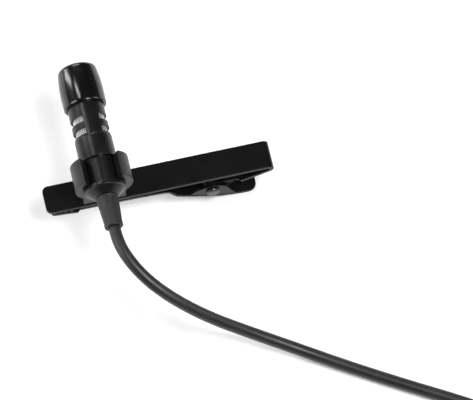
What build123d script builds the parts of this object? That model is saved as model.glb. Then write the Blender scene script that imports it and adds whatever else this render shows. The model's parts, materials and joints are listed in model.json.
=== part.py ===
from build123d import *
from math import asin, atan2, cos, degrees, pi, radians, sin, tan
import os

# Tie-clip microphone with its lead and a 3.5 mm plug.
# Frame: +X along the clip's bar towards its fold, +Y along the microphone towards its cap,
# +Z up. The clip's thumb tab rests on Z = 0, and the origin is under the middle of the
# microphone and clip. All sizes are in millimetres.

# ---------------------------------------------------------------- driving sizes
neck_radius = 3.05           # the groove that the holder grips
neck_length = 5.4
barrel_radius = 3.65
barrel_length = 4.7          # plain stretch above the neck
window_radius = 3.56
window_height = 1.35         # each sound slot, along the microphone
window_rib = 1.2             # between the two rows of slots, and under the first row
window_top_ring = 3.6
window_wall = 0.52
window_post_angle = 53.0     # the two posts left between the slots of a row
window_post_turn = 6.5       # the upper post's turn from +Z towards +X
cap_length = 7.65
cap_rim_radius = 4.17
cap_waist_radius = 4.25
cap_shoulder_radius = 3.86
cap_corner = 0.9
cap_dome = 0.2
cap_wall = 0.95
cap_spigot_length = 1.0
tail_flange_radius = 4.2
tail_flange_length = 0.9
tail_end_radius = 2.3
tail_length = 2.1
relief_root_radius = 2.15
relief_tip_radius = 1.75
relief_length = 6.4
relief_head_radius = 2.2
relief_head_length = 1.0
relief_stem_radius = 1.9

holder_wall = 2.6
holder_foot_half = 4.2
holder_bite = 0.4            # how much narrower the mouth is than the neck, each side
holder_mouth_flare = 1.0     # how much the mouth widens to the outside, each side
holder_tip_round = 0.45

strip_thickness = 0.9        # the clip's bar and leaf
bar_width = 5.6
bar_left = -11.4             # from the microphone's axis
bar_right = 33.3
bar_drop = 7.0               # from the microphone's axis down to the bar's front face
bar_corner = 1.15
fold_radius = 0.8            # middle of the strip's thickness
ear_width = 4.4
ear_thickness = 0.6
ear_margin = 0.9             # metal round the pin
ear_reach = 2.6              # from the leaf's end along its edges

pin_x = 21.2
pin_depth = 5.3              # under the middle of the bar's thickness
pin_radius = 0.8
pin_head_lip = 0.5
pin_head_length = 0.6

lever_thickness = 0.7
lever_arm_width = 4.6
lever_flange_thickness = 0.6
lever_flange_margin = 1.15
tab_end = 30.0
tab_corner = 1.6
jaw_tip = -10.5
tooth_count = 4
tooth_pitch = 1.1

spring_wire = 0.7
spring_slack = 0.45          # between the pin and the inside of the coils
spring_coils = 4
spring_coil_pitch = 0.6

rivet_radius = 0.85
rivet_head_radius = 1.5
rivet_head_length = 0.7
rivet_tail_radius = 1.25
rivet_tail_length = 0.35

running_gap = 0.05           # between pieces that turn on each other
side_gap = 0.1               # between the holder and the neck's ends
touch_gap = 0.05             # between the jaw and the bar when shut

cord_diameter = 2.4
turn_gap = 0.05
turns_across = 3
layers = 4
coil_mean_radius = 13.8
coil_corner = 1.15
coil_x, coil_y = 73.0, -56.0
tie_thickness = 0.5
tie_width = 7.0
tie_angle = 100.0

plug_x = 87.0
plug_boot_start = -27.0
boot_length = 10.0
boot_start_radius = 1.7
boot_end_radius = 2.5
grip_length = 18.0
grip_radius = 3.5
grip_round = 0.6
collar_radius = 2.9
collar_length = 1.2
plug_pin_radius = 1.75
sleeve_length = 7.2
insulator_length = 0.6
ring_length = 2.0
tip_length = 3.6
tip_neck_radius = 1.15
tip_nose_radius = 0.55

# ---------------------------------------------------------------- derived places
bore_radius = neck_radius + running_gap
holder_radius = bore_radius + holder_wall
neck_half = neck_length / 2
holder_half = neck_half - side_gap
barrel_top = neck_half + barrel_length
slot_one = barrel_top + 0.35
slot_two = slot_one + window_height + window_rib
tube_top = slot_two + window_height + window_top_ring
cap_top = tube_top - 0.1 + cap_length
relief_end = -neck_half - tail_length - relief_length

coil_outer = pin_radius + spring_slack + spring_wire
spring_mean_radius = coil_outer - spring_wire / 2
ear_radius = pin_radius + ear_margin
leaf_end = pin_x + coil_outer + 0.75
ear_root = leaf_end + ear_reach
lever_width = ear_width + 2 * (lever_flange_thickness + running_gap)
turn_spacing = cord_diameter + turn_gap

mic_x = -(bar_right + bar_left) / 2
mic_y = -(cap_top + relief_end) / 2
pin_z = 4.55
bar_mid = pin_z + pin_depth
bar_front = bar_mid + strip_thickness / 2
bar_back = bar_mid - strip_thickness / 2
mic_z = bar_front + bar_drop

mic_plane = Plane(origin=(mic_x, mic_y, mic_z), x_dir=(1, 0, 0), z_dir=(0, 0, 1))
mic_axis = Axis((mic_x, mic_y, mic_z), (0, 1, 0))
clip_plane = Plane(origin=(mic_x, mic_y, 0), x_dir=(1, 0, 0), z_dir=(0, -1, 0))

os.makedirs("parts", exist_ok=True)


def save(piece, name):
    piece.part.label = name
    export_step(piece.part, f"parts/{name}.step")


def turn(outline, plane=mic_plane, axis=mic_axis, mode=Mode.ADD):
    """Turn an outline of (radius, distance along the axis) corners."""
    with BuildSketch(plane) as profile:
        with BuildLine():
            Polyline(*outline, close=True)
        make_face()
    revolve(profile.sketch, axis=axis, mode=mode)


def cross_plane(along):
    """The plane across the microphone at a distance along it: local x is X, local y is Z."""
    return Plane((mic_x, mic_y + along, mic_z), x_dir=(1, 0, 0), z_dir=(0, -1, 0))


def polar(radius, angle):
    return (radius * cos(radians(angle)), radius * sin(radians(angle)))


def tube(inner, outer, low, high, mode=Mode.ADD):
    turn([(inner, low), (outer, low), (outer, high), (inner, high)], mode=mode)


def clip_slab(outline, low, high, mode=Mode.ADD):
    """Extrude an outline of (x, z) corners from y = low to y = high off the clip's middle."""
    with BuildSketch(clip_plane.offset(-high)) as profile:
        with BuildLine():
            Polyline(*outline, close=True)
        make_face()
    extrude(profile.sketch, amount=high - low, mode=mode)


# ---------------------------------------------------------------- microphone
tube_bore = window_radius - window_wall
bore_floor = neck_half + 0.2
wire_bore = 2.2

with BuildPart() as body_tube:
    turn([
        (wire_bore, -neck_half), (neck_radius - 0.15, -neck_half), (neck_radius, -neck_half + 0.15),
        (neck_radius, neck_half), (barrel_radius - 0.15, neck_half), (barrel_radius, neck_half + 0.15),
        (barrel_radius, barrel_top - 0.25), (barrel_radius - 0.3, barrel_top),
        (window_radius, barrel_top + 0.2),
        (window_radius, tube_top - 0.15), (window_radius - 0.15, tube_top), (tube_bore, tube_top),
        (tube_bore, bore_floor), (wire_bore, bore_floor),
    ])
    for slot in (slot_one, slot_two):
        for post in (90, 270):
            with BuildSketch(cross_plane(slot)):
                first = post - window_post_turn + window_post_angle / 2
                spread = 180 - window_post_angle
                corners = [polar(2 * barrel_radius, first + spread * k / 3) for k in range(4)]
                with BuildLine():
                    Polyline((0, 0), *corners, close=True)
                make_face()
            extrude(amount=-window_height, mode=Mode.SUBTRACT)
save(body_tube, "body_tube")

mesh_outer = tube_bore
mesh_thickness = 0.12
mesh_low = slot_one - 0.3
mesh_high = slot_two + window_height + 0.3
with BuildPart() as mesh_screen:
    tube(mesh_outer - mesh_thickness, mesh_outer, mesh_low, mesh_high)
save(mesh_screen, "mesh_screen")

with BuildPart() as foam_plug:
    tube(0, mesh_outer - mesh_thickness, mesh_low, mesh_high)
save(foam_plug, "foam_plug")

cap_low = tube_top - 0.1
cap_shoulder = cap_top - cap_dome - cap_corner
dome_edge = cap_shoulder_radius - cap_corner - 0.1
dome_radius = (dome_edge ** 2 + cap_dome ** 2) / (2 * cap_dome)
dome_angle = degrees(asin(dome_edge / dome_radius))
with BuildPart() as cap:
    with BuildSketch(mic_plane):
        with BuildLine():
            side_line = ThreePointArc((cap_rim_radius, cap_low + 0.12),
                                      (cap_waist_radius, cap_low + 0.32 * cap_length),
                                      (cap_shoulder_radius, cap_shoulder))
            TangentArc(side_line @ 1, (dome_edge, cap_top - cap_dome), tangent=side_line % 1)
            dome = CenterArc((0, cap_top - dome_radius), dome_radius, 90, -dome_angle)
            Polyline(dome @ 0, (0, cap_top - 1.6), (cap_shoulder_radius - cap_wall, cap_top - 1.6),
                     (cap_shoulder_radius - cap_wall, cap_low + 2.2), (2.1, cap_low + 1.2),
                     (2.1, tube_top - cap_spigot_length), (tube_bore, tube_top - cap_spigot_length),
                     (tube_bore, tube_top), (window_radius + running_gap, tube_top),
                     (window_radius + running_gap, cap_low), (cap_rim_radius - 0.12, cap_low), side_line @ 0)
        make_face()
    revolve(axis=mic_axis)
save(cap, "cap")

boot_wall = 0.45
boot_low = bore_floor
boot_high = mesh_low
can_radius = tube_bore - boot_wall
with BuildPart() as capsule_boot:
    tube(can_radius, tube_bore, boot_low, boot_high)
save(capsule_boot, "capsule_boot")

board_thickness = 0.5
felt_thickness = 0.3
with BuildPart() as capsule_board:
    tube(0, can_radius, boot_low, boot_low + board_thickness)
save(capsule_board, "capsule_board")

with BuildPart() as capsule_can:
    tube(0, can_radius, boot_low + board_thickness, boot_high - felt_thickness)
    tube(0, 0.6, boot_high - felt_thickness - 0.25, boot_high - felt_thickness, mode=Mode.SUBTRACT)
save(capsule_can, "capsule_can")

with BuildPart() as capsule_felt:
    tube(0, can_radius, boot_high - felt_thickness, boot_high)
save(capsule_felt, "capsule_felt")

spigot_length = 2.3
flange_end = -neck_half - tail_flange_length
tail_end = -neck_half - tail_length
head_low = tail_end + 0.6
head_high = head_low + relief_head_length
with BuildPart() as tail_shell:
    turn([
        (1.5, -neck_half + spigot_length), (wire_bore, -neck_half + spigot_length), (wire_bore, -neck_half),
        (tail_flange_radius - 0.25, -neck_half), (tail_flange_radius, -neck_half - 0.25),
        (tail_flange_radius, flange_end + 0.2), (tail_flange_radius - 0.2, flange_end),
        (tail_flange_radius - 0.45, flange_end), (tail_end_radius + 0.1, tail_end + 0.25),
        (tail_end_radius - 0.15, tail_end), (relief_stem_radius, tail_end), (relief_stem_radius, head_low),
        (relief_head_radius, head_low), (relief_head_radius, head_high), (1.5, head_high),
    ])
save(tail_shell, "tail_shell")

with BuildPart() as strain_relief:
    turn([
        (0, relief_end), (relief_tip_radius - 0.2, relief_end), (relief_tip_radius, relief_end + 0.2),
        (relief_root_radius, tail_end), (relief_stem_radius, tail_end), (relief_stem_radius, head_low),
        (relief_head_radius, head_low), (relief_head_radius, head_high), (0, head_high),
    ])
save(strain_relief, "strain_relief")

wire_radius = 0.35
wire_offset = 0.45
for name, side in (("wire_signal", -1), ("wire_ground", 1)):
    with BuildPart() as wire:
        with BuildSketch(cross_plane(head_high)):
            with Locations((side * wire_offset, 0)):
                Circle(wire_radius)
        extrude(amount=head_high - boot_low)
    save(wire, name)

with BuildPart() as wire_ferrule:
    tube(wire_offset + wire_radius, 1.25, head_high + 0.4, -neck_half + spigot_length - 0.4)
save(wire_ferrule, "wire_ferrule")

# ---------------------------------------------------------------- holder and clip
mouth_inner = neck_radius - holder_bite
mouth_outer = mouth_inner + holder_mouth_flare
mouth_level = (bore_radius ** 2 - mouth_inner ** 2) ** 0.5
mouth_top = (holder_radius ** 2 - mouth_outer ** 2) ** 0.5
mouth_slope = holder_mouth_flare / (mouth_top - mouth_level)


def mouth_half(level):
    """Half the width of the holder's flared mouth at a level above the microphone's axis."""
    return mouth_inner + mouth_slope * (level - mouth_level)


with BuildPart() as holder:
    with BuildSketch(cross_plane(0)):
        Circle(holder_radius)
        with Locations((0, -bar_drop / 2)):
            Rectangle(2 * holder_foot_half, bar_drop)
        Circle(bore_radius, mode=Mode.SUBTRACT)
        low, high = mouth_level - 0.6, holder_radius + 1
        Polygon((-mouth_half(low), low), (mouth_half(low), low),
                (mouth_half(high), high), (-mouth_half(high), high),
                align=None, mode=Mode.SUBTRACT)
    extrude(amount=holder_half, both=True)
    tips = holder.edges().filter_by(Axis.Y).filter_by(lambda e: abs((e @ 0).Z - mic_z - mouth_top) < 0.05)
    fillet(tips, radius=holder_tip_round)
    with BuildSketch(Plane((mic_x, mic_y, bar_front))):
        Circle(rivet_radius)
    extrude(amount=bar_drop, mode=Mode.SUBTRACT)
    rivet_seat = mic_z - bore_radius - rivet_head_length - 0.15
    with BuildSketch(Plane((mic_x, mic_y, rivet_seat))):
        Circle(rivet_head_radius)
    extrude(amount=bar_drop, mode=Mode.SUBTRACT)
save(holder, "holder")

with BuildPart() as holder_rivet:
    with BuildSketch(Plane((mic_x, mic_y, rivet_seat))):
        Circle(rivet_head_radius)
    extrude(amount=rivet_head_length)
    with BuildSketch(Plane((mic_x, mic_y, bar_back))):
        Circle(rivet_radius)
    extrude(amount=rivet_seat - bar_back)
    with BuildSketch(Plane((mic_x, mic_y, bar_back))):
        Circle(rivet_tail_radius)
    extrude(amount=-rivet_tail_length, taper=25)
save(holder_rivet, "holder_rivet")

# The leaf runs from the underside of the fold down to the spring, a little above the pin.
fold_x = bar_right - fold_radius - strip_thickness / 2
fold_centre = Vector(fold_x, bar_mid - fold_radius)
leaf_target = Vector(leaf_end, pin_z + 0.3)
leaf_chord = fold_centre - leaf_target
leaf_angle = degrees(atan2(leaf_chord.Y, leaf_chord.X) - asin(fold_radius / leaf_chord.length))
leaf_start = fold_centre + Vector(*polar(fold_radius, leaf_angle - 90))
leaf_slope = tan(radians(leaf_angle))


def leaf_z(x):
    return leaf_start.Y - leaf_slope * (leaf_start.X - x)


with BuildPart() as clip_bar:
    with BuildSketch(clip_plane):
        with BuildLine() as strip:
            Line((bar_left, bar_mid), (fold_x, bar_mid))
            CenterArc((fold_centre.X, fold_centre.Y), fold_radius, 90, leaf_angle - 180)
            Line((leaf_start.X, leaf_start.Y), (leaf_end, leaf_z(leaf_end)))
        trace(line_width=strip_thickness)
    extrude(amount=bar_width / 2, both=True)
    fillet(clip_bar.edges().filter_by(Axis.Z).group_by(Axis.X)[0], radius=bar_corner)
    trim = (bar_width - ear_width) / 2
    for side in (-1, 1):
        edge = side * (ear_width / 2 + trim)
        clip_slab([(leaf_end - 2, 0), (ear_root, 0), (ear_root, leaf_z(ear_root) + strip_thickness),
                   (leaf_end - 2, bar_back - 1)], edge - trim, edge + trim, mode=Mode.SUBTRACT)
    for low in (-ear_width / 2, ear_width / 2 - ear_thickness):
        clip_slab([(pin_x - 0.6, pin_z + ear_radius), (ear_root - 0.4, leaf_z(ear_root) + 0.5),
                   (ear_root - 0.4, leaf_z(ear_root) - 0.5), (pin_x, pin_z - ear_radius)],
                  low, low + ear_thickness)
        with BuildSketch(clip_plane.offset(-low - ear_thickness)):
            with Locations((pin_x, pin_z)):
                Circle(ear_radius)
        extrude(amount=ear_thickness)
    with BuildSketch(clip_plane):
        with Locations((pin_x, pin_z)):
            Circle(pin_radius)
    extrude(amount=bar_width, both=True, mode=Mode.SUBTRACT)
    with BuildSketch(Plane((mic_x, mic_y, 0))):
        Circle(rivet_radius)
    extrude(amount=bar_front, mode=Mode.SUBTRACT)
save(clip_bar, "clip_bar")

pin_half = lever_width / 2 + running_gap
with BuildPart() as pivot_pin:
    with BuildSketch(clip_plane):
        with Locations((pin_x, pin_z)):
            Circle(pin_radius)
    extrude(amount=pin_half, both=True)
    for side in (-1, 1):
        with BuildSketch(clip_plane.offset(side * pin_half)):
            with Locations((pin_x, pin_z)):
                Circle(pin_radius + pin_head_lip)
        extrude(amount=side * pin_head_length)
    fillet(pivot_pin.edges().filter_by(GeomType.CIRCLE).filter_by(
        lambda e: abs(abs((e @ 0).Y - mic_y) - pin_half - pin_head_length) < 0.01), radius=0.4)
save(pivot_pin, "pivot_pin")

# The jaw: one pressed strip, from the toothed tip under the bar to the thumb tab.
tooth_top = bar_back - touch_gap
tooth_height = 0.5
tab_level = lever_thickness / 2
tip_level = tooth_top - tooth_height
tip_length = 4.9
arm_end = pin_x - 9.0
floor_start = pin_x + 5.8
heel_level = pin_z - coil_outer - 0.95 - lever_thickness / 2
heel = (pin_x + 1.5, heel_level)
knee = (pin_x - 3.6, heel_level + 2.35)
shoulder = (pin_x - 5.9, heel_level + 3.45)
lever_line = [
    (jaw_tip, tip_level), (jaw_tip + tip_length, bar_back - 1.45),
    (jaw_tip + tip_length + 0.9, bar_back - 1.8),
    (arm_end - 5.9, bar_back - 1.95), (arm_end, bar_back - 2.45), shoulder, knee, heel,
    (floor_start, tab_level), (tab_end, tab_level),
]
lever_bends = [1.5, 1.0, 6.0, 2.2, 2.0, 4.0, 3.0, 4.0]
with BuildPart() as jaw_lever:
    with BuildSketch(clip_plane):
        with BuildLine():
            FilletPolyline(*lever_line, radius=lever_bends)
        trace(line_width=lever_thickness)
    extrude(amount=lever_width / 2, both=True)
    arm_start = jaw_tip + tip_length + 0.3
    arm_stop = arm_end + 2.0
    for low in (-lever_width, lever_arm_width / 2):
        clip_slab([(arm_start, 0), (arm_stop, 0), (arm_stop, bar_back), (arm_start, bar_back)],
                  low, low + lever_width - lever_arm_width / 2, mode=Mode.SUBTRACT)
    fillet(jaw_lever.edges().filter_by(Axis.Z).group_by(Axis.X)[-1], radius=tab_corner)
    for low in (-lever_width / 2, lever_width / 2 - lever_flange_thickness):
        clip_slab([(pin_x - 5.0, 4.2), (pin_x - 1.5, pin_z + 1.3), (pin_x + 1.5, pin_z + 1.3),
                   (floor_start - 1.4, tab_level + 0.4), heel, knee], low, low + lever_flange_thickness)
        with BuildSketch(clip_plane.offset(-low - lever_flange_thickness)):
            with Locations((pin_x, pin_z)):
                Circle(pin_radius + running_gap + lever_flange_margin)
        extrude(amount=lever_flange_thickness)
    with BuildSketch(clip_plane):
        with Locations((pin_x, pin_z)):
            Circle(pin_radius + running_gap)
    extrude(amount=lever_width, both=True, mode=Mode.SUBTRACT)
    for k in range(tooth_count):
        left = jaw_tip + 0.15 + k * tooth_pitch
        root = tip_level - 0.5
        clip_slab([(left, root), (left + 0.25, tooth_top), (left + 0.45, tooth_top),
                   (left + tooth_pitch - 0.15, root)], -lever_width / 2, lever_width / 2)
save(jaw_lever, "jaw_lever")

coil_half = (spring_coils - 1) * spring_coil_pitch / 2
leg_wire_radius = spring_wire / 2 - 0.02
rise_start = (pin_x, pin_z + spring_mean_radius)
rise_middle = (pin_x + 2.75, pin_z + 2.55)
rise_end = (pin_x + 4.3, bar_back - touch_gap - spring_wire / 2)
press_start = (pin_x, pin_z - spring_mean_radius)
press_end = (pin_x + 5.2, lever_thickness + touch_gap + spring_wire / 2 + 0.12)


def on_clip(spot, side):
    """A point of the clip's (x, z) outlines, at y = side off the clip's middle."""
    return clip_plane.offset(-side).from_local_coords(spot)


with BuildPart() as spring:
    for k in range(spring_coils):
        turn_y = mic_y - coil_half + k * spring_coil_pitch
        with Locations(Location((mic_x + pin_x, turn_y, pin_z), (90, 0, 0))):
            Torus(spring_mean_radius, spring_wire / 2)
    rise = ThreePointArc(on_clip(rise_start, -coil_half), on_clip(rise_middle, -coil_half),
                         on_clip(rise_end, -coil_half), mode=Mode.PRIVATE)
    press = Line(on_clip(press_start, coil_half), on_clip(press_end, coil_half), mode=Mode.PRIVATE)
    for leg in (rise, press):
        with BuildSketch(Plane(origin=leg @ 0, z_dir=leg % 0)):
            Circle(leg_wire_radius)
        sweep(path=leg)
save(spring, "spring")

# ---------------------------------------------------------------- lead
cord_radius = cord_diameter / 2
lead_points = [
    (mic_x, mic_y + relief_end, mic_z),
    (mic_x, -19.9, mic_z),
    (-9.8, -23.7, 16.9),
    (-7.3, -28.0, 15.7),
    (-3.1, -32.1, 13.4),
    (3.2, -35.9, 9.3),
    (10.9, -39.2, 4.9),
    (19.0, -43.2, 1.9),
    (27.7, -48.7, 1.25),
    (37.9, -55.0, 1.25),
    (48.0, -60.9, 1.25),
    (56.4, -66.6, 1.4),
    (64.1, -71.0, 1.7),
]
tail_points = [
    (90.5, -56.0, 9.05),
    (90.7, -50.4, 8.6),
    (90.2, -44.2, 6.3),
    (88.9, -38.2, 3.9),
    (plug_x, -32.4, grip_radius),
    (plug_x, plug_boot_start, grip_radius),
]


def corner_radii(points):
    """The largest arc that fits each corner: 0.45 of its shorter run."""
    radii = []
    for before, here, after in zip(points, points[1:], points[2:]):
        into, out = Vector(*here) - Vector(*before), Vector(*after) - Vector(*here)
        half_turn = radians(into.get_angle(out)) / 2
        radii.append(0.45 * min(into.length, out.length) / tan(half_turn))
    return radii


def cord_tube(points, name):
    radii = corner_radii(points)
    with BuildPart() as cord:
        with BuildLine() as route:
            FilletPolyline(*points, radius=radii)
        path = route.wire()
        with BuildSketch(Plane(origin=path @ 0, z_dir=path % 0)):
            Circle(cord_radius)
        sweep(path=path)
    save(cord, name)
    drift = cord.part.volume / (pi * cord_radius ** 2 * path.length) - 1
    shown = [round(r, 1) for r in radii]
    print(f"{name}: length {path.length:.1f}, radii {shown}, volume off by {drift:.4%}")
    return path.length


lead_length = cord_tube(lead_points, "cord_lead")
tail_length_free = cord_tube(tail_points, "cord_tail")

coil_width = (turns_across - 1) * turn_spacing + cord_diameter + turn_spacing
coil_height = (layers - 1) * turn_spacing + cord_diameter
coil_plane = Plane((coil_x, coil_y, 0), x_dir=(1, 0, 0), z_dir=(0, -1, 0))
coil_axis = Axis((coil_x, coil_y, 0), (0, 0, 1))
section_middle = (coil_mean_radius, tie_thickness + coil_height / 2)
with BuildPart() as cord_coil:
    with BuildSketch(coil_plane):
        with Locations(section_middle):
            RectangleRounded(coil_width, coil_height, coil_corner)
    revolve(axis=coil_axis)
save(cord_coil, "cord_coil")

tie_arc = tie_width / coil_mean_radius * 180 / pi
with BuildPart() as cord_tie:
    across = Vector(*polar(1, tie_angle), 0)
    with BuildSketch(Plane((coil_x, coil_y, 0), x_dir=across, z_dir=across.cross(Vector(0, 0, 1)))):
        with Locations(section_middle):
            RectangleRounded(coil_width + 2 * tie_thickness, coil_height + 2 * tie_thickness,
                             coil_corner + tie_thickness)
            RectangleRounded(coil_width, coil_height, coil_corner, mode=Mode.SUBTRACT)
    revolve(axis=coil_axis, revolution_arc=tie_arc)
save(cord_tie, "cord_tie")

# ---------------------------------------------------------------- plug
plug_plane = Plane((plug_x, plug_boot_start, grip_radius), x_dir=(1, 0, 0), z_dir=(0, 0, 1))
plug_axis = Axis((plug_x, plug_boot_start, grip_radius), (0, 1, 0))
grip_end = boot_length + grip_length
sleeve_start = grip_end + collar_length
insulator_rear = sleeve_start + sleeve_length
ring_start = insulator_rear + insulator_length
insulator_front = ring_start + ring_length
tip_start = insulator_front + insulator_length
tip_end = tip_start + tip_length

plug_pieces = {
    "plug_boot": [(0, 0), (boot_start_radius - 0.2, 0), (boot_start_radius, 0.2),
                  (boot_end_radius, boot_length), (0, boot_length)],
    "plug_grip": [(0, boot_length), (grip_radius - grip_round, boot_length),
                  (grip_radius, boot_length + grip_round), (grip_radius, grip_end - grip_round),
                  (grip_radius - grip_round, grip_end), (0, grip_end)],
    "plug_collar": [(0, grip_end), (collar_radius, grip_end), (collar_radius, sleeve_start - 0.3),
                    (collar_radius - 0.3, sleeve_start), (0, sleeve_start)],
    "plug_sleeve": [(0, sleeve_start), (plug_pin_radius, sleeve_start), (plug_pin_radius, insulator_rear),
                    (0, insulator_rear)],
    "insulator_rear": [(0, insulator_rear), (plug_pin_radius, insulator_rear), (plug_pin_radius, ring_start),
                       (0, ring_start)],
    "plug_ring": [(0, ring_start), (plug_pin_radius, ring_start), (plug_pin_radius, insulator_front),
                  (0, insulator_front)],
    "insulator_front": [(0, insulator_front), (plug_pin_radius, insulator_front),
                        (plug_pin_radius, tip_start), (0, tip_start)],
    "plug_tip": [(0, tip_start), (plug_pin_radius - 0.1, tip_start), (tip_neck_radius, tip_start + 0.8),
                 (tip_neck_radius, tip_start + 1.0), (plug_pin_radius - 0.1, tip_start + 1.8),
                 (tip_nose_radius, tip_end - 0.15), (tip_nose_radius - 0.3, tip_end), (0, tip_end)],
}
for name, outline in plug_pieces.items():
    with BuildPart() as piece:
        turn(outline, plug_plane, plug_axis)
    save(piece, name)

coil_turns = layers * turns_across
coiled_length = (coil_turns + 1 / 3) * 2 * pi * coil_mean_radius
print(f"coil holds {coil_turns} turns and a third, about {coiled_length:.0f} mm; "
      f"lead {lead_length:.0f}, tail {tail_length_free:.0f}")
print(f"microphone axis at x {mic_x:.3f}, z {mic_z:.3f}; holder's middle at y {mic_y:.3f}")
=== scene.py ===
import bmesh
import bpy
import json
import math
from mathutils import Matrix, Vector


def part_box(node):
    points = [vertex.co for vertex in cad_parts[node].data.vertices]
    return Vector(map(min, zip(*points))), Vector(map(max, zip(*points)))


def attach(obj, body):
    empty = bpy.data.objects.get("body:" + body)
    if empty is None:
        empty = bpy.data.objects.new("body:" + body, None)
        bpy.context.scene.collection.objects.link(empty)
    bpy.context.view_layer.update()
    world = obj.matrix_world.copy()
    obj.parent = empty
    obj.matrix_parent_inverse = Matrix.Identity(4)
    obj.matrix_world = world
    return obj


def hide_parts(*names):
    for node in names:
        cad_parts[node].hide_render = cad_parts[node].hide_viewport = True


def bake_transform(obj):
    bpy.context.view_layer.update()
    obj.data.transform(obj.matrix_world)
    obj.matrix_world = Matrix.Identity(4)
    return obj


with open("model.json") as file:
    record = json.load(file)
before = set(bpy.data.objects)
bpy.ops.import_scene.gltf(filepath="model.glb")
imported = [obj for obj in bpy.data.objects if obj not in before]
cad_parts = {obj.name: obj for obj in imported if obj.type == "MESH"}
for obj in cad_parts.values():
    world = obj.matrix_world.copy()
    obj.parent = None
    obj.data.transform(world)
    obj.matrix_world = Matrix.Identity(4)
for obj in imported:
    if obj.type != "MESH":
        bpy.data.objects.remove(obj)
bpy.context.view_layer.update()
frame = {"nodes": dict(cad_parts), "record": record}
scene = bpy.context.scene
mm = 0.001                                  # every size below is in millimetres unless it says otherwise
tiny = 1e-7                                 # metres; points closer than this are one point


def boxMiddle(node):
    low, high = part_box(node)
    return (low + high) / 2


micAxis = boxMiddle("body_tube")            # x and z of the microphone's axis
pinAxis = boxMiddle("pivot_pin")
holderMiddle = Vector((micAxis.x, boxMiddle("holder").y, micAxis.z))
clipMiddle = Vector((micAxis.x, holderMiddle.y, 0))     # outlines of the clip are drawn from here


def along(node, start=holderMiddle):
    # a node's two ends along the microphone's direction
    low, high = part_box(node)
    return (low.y - start.y) / mm, (high.y - start.y) / mm


print("frame loaded")

# angles in degrees; lens as in the camera's own panel; distance and clipStart in metres
cameraView = {"azimuth": -12.83, "elevation": 68.0, "distance": 2.0, "lens": 793.8, "clipStart": 0.01,
              "target": (13.3, -15.78, 15.1)}
viewTarget = Vector(cameraView["target"]) * mm


def makeCamera(view):
    turn, rise = math.radians(view["azimuth"]), math.radians(view["elevation"])
    back = Vector((math.sin(turn) * math.cos(rise), -math.cos(turn) * math.cos(rise), math.sin(rise)))
    data = bpy.data.cameras.new("camera")
    data.lens = view["lens"]
    data.clip_start = view["clipStart"]
    camera = bpy.data.objects.new("camera", data)
    camera.location = viewTarget + back * view["distance"]
    camera.rotation_euler = back.to_track_quat("Z", "Y").to_euler()
    scene.collection.objects.link(camera)
    scene.camera = camera


makeCamera(cameraView)

# places and sizes in metres, power in watts; none stands where the flat bar would mirror it
softboxes = {
    "topBox": {"place": (0.16, -0.14, 0.50), "size": (0.20, 0.20), "power": 2.1},
    "rightBox": {"place": (0.46, -0.02, 0.24), "size": (0.12, 0.26), "power": 0.4},
    "backBox": {"place": (-0.02, 0.50, 0.34), "size": (0.30, 0.22), "power": 1.5},
    "frontBox": {"place": (0.02, -0.48, 0.32), "size": (0.40, 0.24), "power": 0.12},
    "leftBox": {"place": (-0.46, -0.02, 0.30), "size": (0.20, 0.30), "power": 1.1},
    "capStrip": {"place": (-0.40, 0.28, 0.20), "size": (0.07, 0.26), "power": 0.7},  # bright line on the cap
    "capGlow": {"place": (-0.19, 0.18, 0.42), "size": (0.05, 0.12), "power": 0.3},   # softer one beside it
}


def makeSoftbox(name, place, size, power):
    data = bpy.data.lights.new(name, "AREA")
    data.shape = "RECTANGLE"
    data.size, data.size_y = size
    data.energy = power
    lamp = bpy.data.objects.new(name, data)
    lamp.location = place
    lamp.rotation_euler = (Vector(place) - viewTarget).to_track_quat("Z", "Y").to_euler()
    scene.collection.objects.link(lamp)


for boxName, settings in softboxes.items():
    makeSoftbox(boxName, **settings)

# the room's strength falls from the horizon to the ceiling, so that flat tops stay black
studioFade = {"From Min": 0.05, "From Max": 0.5, "To Min": 0.11, "To Max": 0.02}


def makeStudio(fadeValues):
    world = bpy.data.worlds.new("studio")
    world.use_nodes = True
    tree = world.node_tree
    spot = tree.nodes.new("ShaderNodeTexCoord")
    split = tree.nodes.new("ShaderNodeSeparateXYZ")
    fade = tree.nodes.new("ShaderNodeMapRange")
    tree.links.new(spot.outputs["Generated"], split.inputs[0])
    tree.links.new(split.outputs["Z"], fade.inputs["Value"])
    for socket, value in fadeValues.items():
        fade.inputs[socket].default_value = value
    tree.links.new(fade.outputs[0], tree.nodes["Background"].inputs["Strength"])
    tree.nodes["Background"].inputs["Color"].default_value = (1, 1, 1, 1)
    scene.world = world


makeStudio(studioFade)
scene.view_settings.view_transform = "Standard"
print("camera and lights placed")


# one output socket that Python sums and products can use
class Wire:
    def __init__(self, finish, socket):
        self.finish, self.socket = finish, socket

    def maths(self, operation, first, second):
        return self.finish.node("ShaderNodeMath", {"operation": operation}, {0: first, 1: second})

    def __add__(self, other):
        return self.maths("ADD", self, other)

    def __radd__(self, other):
        return self.maths("ADD", other, self)

    def __sub__(self, other):
        return self.maths("SUBTRACT", self, other)

    def __rsub__(self, other):
        return self.maths("SUBTRACT", other, self)

    def __mul__(self, other):
        return self.maths("MULTIPLY", self, other)

    def __rmul__(self, other):
        return self.maths("MULTIPLY", other, self)


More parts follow.
